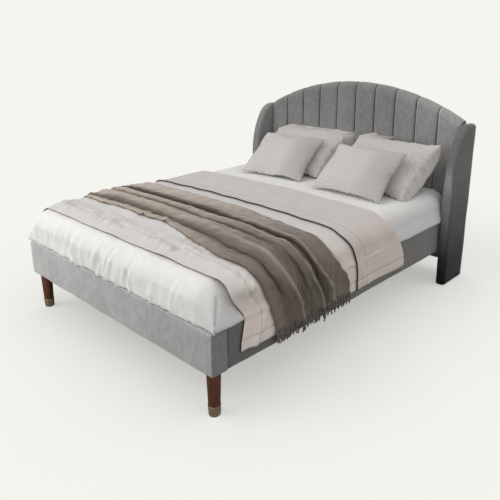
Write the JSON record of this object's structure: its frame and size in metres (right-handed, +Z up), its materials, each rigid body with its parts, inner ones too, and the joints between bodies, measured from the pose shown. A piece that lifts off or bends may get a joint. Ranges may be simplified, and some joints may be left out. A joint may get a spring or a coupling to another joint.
{
  "type": "upholstered wing bed",
  "caption": "Upholstered bed with an arched, channelled headboard between floor-length wings, turned front legs, slatted deck, mattress, duvet, throw and pillows.",
  "frame": {"origin": "on the floor, at the middle of the bed's overall length and width", "axes": "+Z up; +Y from the foot of the bed to the headboard; +X to the right of someone standing at the foot and looking at the headboard"},
  "size_m": [1.74, 2.2, 1.254],
  "materials": {
    "grey_velvet": "short-pile upholstery velvet with a soft, mottled nap",
    "black_nylon": "moulded nylon glide",
    "walnut": "dark red-brown stain, satin",
    "aged_brass": "antiqued, lightly hammered",
    "zinc_steel": "zinc plated",
    "pine": "planed, untreated",
    "white_cotton": "fitted cotton sheet, matt",
    "greige_sateen": "sateen, soft sheen",
    "taupe_plush": "plush pile with a twisted fringe",
    "linen": "washed linen, matt",
    "ribbed_cotton": "finely ribbed weave, matt"
  },
  "bodies": {
    "bed_frame": {"headboard_core": "grey_velvet", "headboard_back_panel": "grey_velvet", "headboard_channel_01": "grey_velvet", "headboard_channel_02": "grey_velvet", "headboard_channel_03": "grey_velvet", "headboard_channel_04": "grey_velvet", "headboard_channel_05": "grey_velvet", "headboard_channel_06": "grey_velvet", "headboard_channel_07": "grey_velvet", "headboard_channel_08": "grey_velvet", "headboard_channel_09": "grey_velvet", "headboard_channel_10": "grey_velvet", "foot_rail": "grey_velvet", "head_cleat": "pine", "centre_beam": "pine", "slat_01": "pine", "slat_02": "pine", "slat_03": "pine", "slat_04": "pine", "slat_05": "pine", "slat_06": "pine", "slat_07": "pine", "slat_08": "pine", "slat_09": "pine", "slat_10": "pine", "centre_leg_front": "pine", "centre_leg_rear": "pine", "wing_left": "grey_velvet", "wing_glide_left": "black_nylon", "side_rail_left": "grey_velvet", "slat_ledger_left": "pine", "front_leg_left": "walnut", "leg_ferrule_left": "aged_brass", "corner_block_left": "pine", "leg_bolt_left": "zinc_steel", "foot_bolt_left": "zinc_steel", "head_bracket_left": "zinc_steel", "head_bolt_left_lower": "zinc_steel", "head_bolt_left_upper": "zinc_steel", "wing_right": "grey_velvet", "wing_glide_right": "black_nylon", "side_rail_right": "grey_velvet", "slat_ledger_right": "pine", "front_leg_right": "walnut", "leg_ferrule_right": "aged_brass", "corner_block_right": "pine", "leg_bolt_right": "zinc_steel", "foot_bolt_right": "zinc_steel", "head_bracket_right": "zinc_steel", "head_bolt_right_lower": "zinc_steel", "head_bolt_right_upper": "zinc_steel"},
    "mattress_set": {"mattress": "white_cotton", "duvet": "greige_sateen", "throw": "taupe_plush"},
    "pillow_left": {"pillow_left": "linen"},
    "pillow_right": {"pillow_right": "linen"},
    "cushion_left": {"cushion_left": "ribbed_cotton"},
    "cushion_right": {"cushion_right": "ribbed_cotton"},
    "levelling_foot_front": {"levelling_foot_front": "zinc_steel"},
    "levelling_foot_rear": {"levelling_foot_rear": "zinc_steel"}
  },
  "joints": [
    {"name": "mattress_lift", "type": "slide", "parent": "bed_frame", "child": "mattress_set", "axis": [0, 0, 1], "range_m": [0, 0.3]},
    {"name": "pillow_left_lift", "type": "slide", "parent": "mattress_set", "child": "pillow_left", "axis": [0, 0, 1], "range_m": [0, 0.35]},
    {"name": "cushion_left_lift", "type": "slide", "parent": "pillow_left", "child": "cushion_left", "axis": [0, 0, 1], "range_m": [0, 0.35]},
    {"name": "pillow_right_lift", "type": "slide", "parent": "mattress_set", "child": "pillow_right", "axis": [0, 0, 1], "range_m": [0, 0.35]},
    {"name": "cushion_right_lift", "type": "slide", "parent": "pillow_right", "child": "cushion_right", "axis": [0, 0, 1], "range_m": [0, 0.35]},
    {"name": "levelling_foot_front_screw", "type": "slide", "parent": "bed_frame", "child": "levelling_foot_front", "axis": [0, 0, -1], "range_m": [0, 0.015]},
    {"name": "levelling_foot_rear_screw", "type": "slide", "parent": "bed_frame", "child": "levelling_foot_rear", "axis": [0, 0, -1], "range_m": [0, 0.015]}
  ]
}
